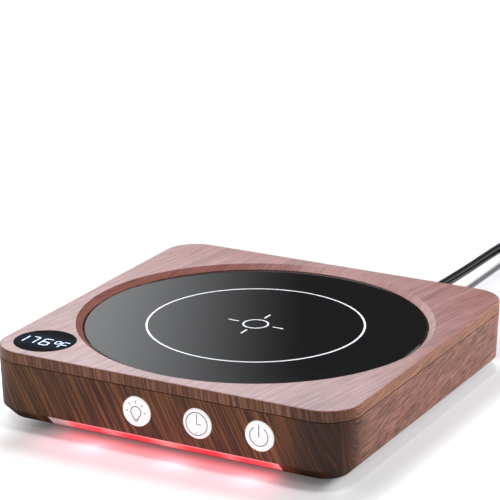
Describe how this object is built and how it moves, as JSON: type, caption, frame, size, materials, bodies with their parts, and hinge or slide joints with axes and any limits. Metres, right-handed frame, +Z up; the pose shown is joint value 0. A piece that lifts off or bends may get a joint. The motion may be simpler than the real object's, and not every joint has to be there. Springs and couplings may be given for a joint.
{
  "type": "electric mug warmer",
  "caption": "Square walnut-finish electric mug warmer with a sunken round black glass plate, corner display, front push buttons, a lit bar under the front edge and a cord.",
  "frame": {"origin": "centre of the square body on the surface that it stands on, at the undersides of its rubber feet", "axes": "+X to the right seen from the front with the buttons, +Y to the back where the cord leaves, +Z up; the front face is on the -Y side"},
  "size_m": [0.1468, 0.2893, 0.025],
  "materials": {
    "walnut_cover": "moulded plastic with a satin walnut-grain transfer film",
    "walnut_housing": "moulded plastic with a satin walnut-grain transfer film",
    "black_plastic": "fine spark-eroded texture",
    "black_glass": "polished black glass with white print",
    "black_rubber": "smooth black, slight sheen",
    "aluminium": "pressed, matt",
    "amber_film": "polyimide film with an etched track",
    "mineral_pad": "ceramic fibre felt",
    "steel": "pressed sheet, bright",
    "zinc_steel": "zinc plated",
    "fuse_ceramic": "glazed tube",
    "brass": "turned",
    "smoked_window": "polished smoked acrylic, lit digits behind",
    "digit_block": "cast resin",
    "circuit_board": "solder resist on glass epoxy",
    "white_cap": "fine satin white with grey pictograms",
    "dark_nylon": "moulded",
    "frosted_bar": "frosted translucent acrylic, lit red",
    "white_board": "white solder resist",
    "lamp": "clear resin over phosphor",
    "black_component": "moulded epoxy",
    "capacitor_can": "sleeved can",
    "ivory_nylon": "moulded",
    "white_nylon": "moulded",
    "red_wire": "PVC sheath",
    "glass_sleeve": "braided glass sleeve",
    "blue_wire": "PVC sheath",
    "grey_wire": "PVC sheath"
  },
  "bodies": {
    "base": {"top_cover": "walnut_cover", "housing": "walnut_housing", "base_cover": "black_plastic", "glass_plate": "black_glass", "glass_seal": "black_rubber", "heater_plate": "aluminium", "heating_element": "amber_film", "insulation_pad": "mineral_pad", "heater_bracket": "steel", "bracket_screws": "zinc_steel", "thermal_fuse": "fuse_ceramic", "temperature_sensor": "brass", "display_window": "smoked_window", "display_module": "digit_block", "display_board": "circuit_board", "display_screws": "zinc_steel", "switch_bodies": "steel", "button_board": "circuit_board", "button_board_screws": "zinc_steel", "light_bar": "frosted_bar", "light_board": "white_board", "light_lamps": "lamp", "main_board": "circuit_board", "control_chip": "black_component", "power_transistor": "black_component", "capacitors": "capacitor_can", "beeper": "black_component", "board_connectors": "ivory_nylon", "main_board_screws": "zinc_steel", "cover_screws": "zinc_steel", "base_screws": "zinc_steel", "rubber_feet": "black_rubber", "cord_gland": "black_rubber", "cord_clamp": "black_plastic", "clamp_screws": "zinc_steel", "lead_in": "black_rubber", "power_wires": "red_wire", "heater_leads": "glass_sleeve", "sensor_leads": "blue_wire", "display_cable": "grey_wire", "button_cable": "grey_wire", "light_cable": "grey_wire", "cord": "black_rubber", "cord_coil": "black_rubber", "cord_tail": "black_rubber", "plug_body": "black_rubber", "plug_shell": "steel", "plug_tongue": "white_nylon"},
    "light_button_body": {"light_button": "white_cap", "light_switch_plunger": "dark_nylon"},
    "timer_button_body": {"timer_button": "white_cap", "timer_switch_plunger": "dark_nylon"},
    "power_button_body": {"power_button": "white_cap", "power_switch_plunger": "dark_nylon"}
  },
  "joints": [
    {"name": "light_press", "type": "slide", "parent": "base", "child": "light_button_body", "axis": [0, 1, 0], "range_m": [0, 0.0005], "stiffness_N_per_m": 900},
    {"name": "timer_press", "type": "slide", "parent": "base", "child": "timer_button_body", "axis": [0, 1, 0], "range_m": [0, 0.0005], "stiffness_N_per_m": 900},
    {"name": "power_press", "type": "slide", "parent": "base", "child": "power_button_body", "axis": [0, 1, 0], "range_m": [0, 0.0005], "stiffness_N_per_m": 900}
  ]
}
